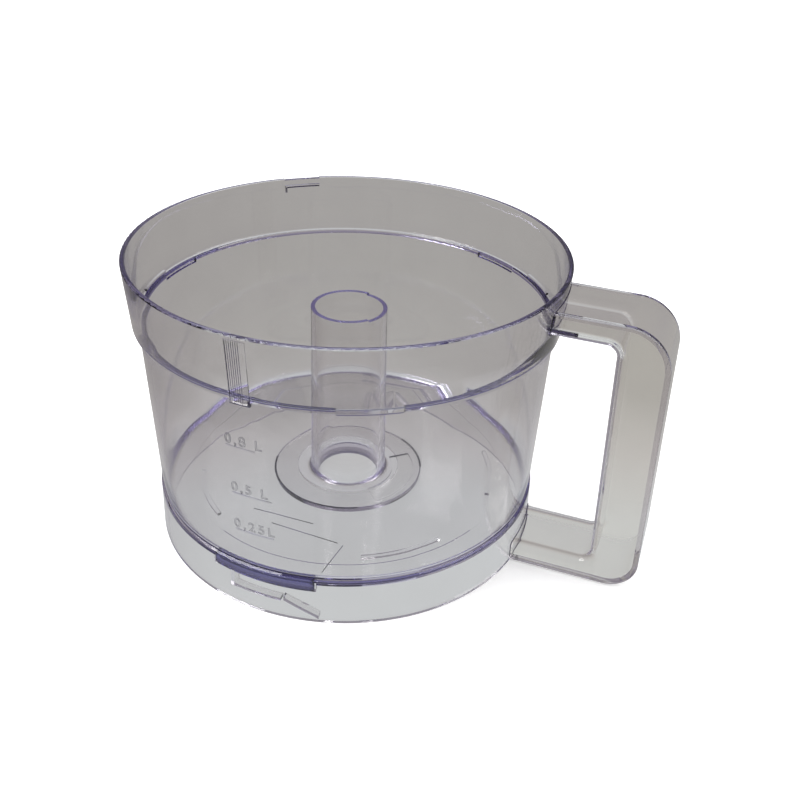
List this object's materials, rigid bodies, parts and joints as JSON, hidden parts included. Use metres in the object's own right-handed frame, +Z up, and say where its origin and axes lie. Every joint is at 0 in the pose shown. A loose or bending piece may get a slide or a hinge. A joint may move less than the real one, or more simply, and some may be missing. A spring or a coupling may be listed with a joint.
{
  "type": "food processor bowl",
  "caption": "Clear round work bowl of a compact food processor, with a central drive tube, lid shelf, skirt and hollow D-shaped side handle.",
  "frame": {"origin": "on the bowl's axis, at the plane of the foot that stands on the motor base", "axes": "+Z up along the bowl's axis, towards the open rim; +X out through the middle of the handle; +Y completes the right-handed set"},
  "size_m": [0.2008, 0.16, 0.1115],
  "materials": {
    "clear_bowl": "clear moulded plastic, faint violet tint",
    "clear_tube": "clear moulded plastic, faint violet tint",
    "clear_handle": "clear moulded plastic, faint warm grey tint"
  },
  "bodies": {
    "root": {"bowl_body": "clear_bowl", "drive_tube": "clear_tube", "handle_channel": "clear_handle", "handle_cover": "clear_handle"}
  },
  "joints": []
}
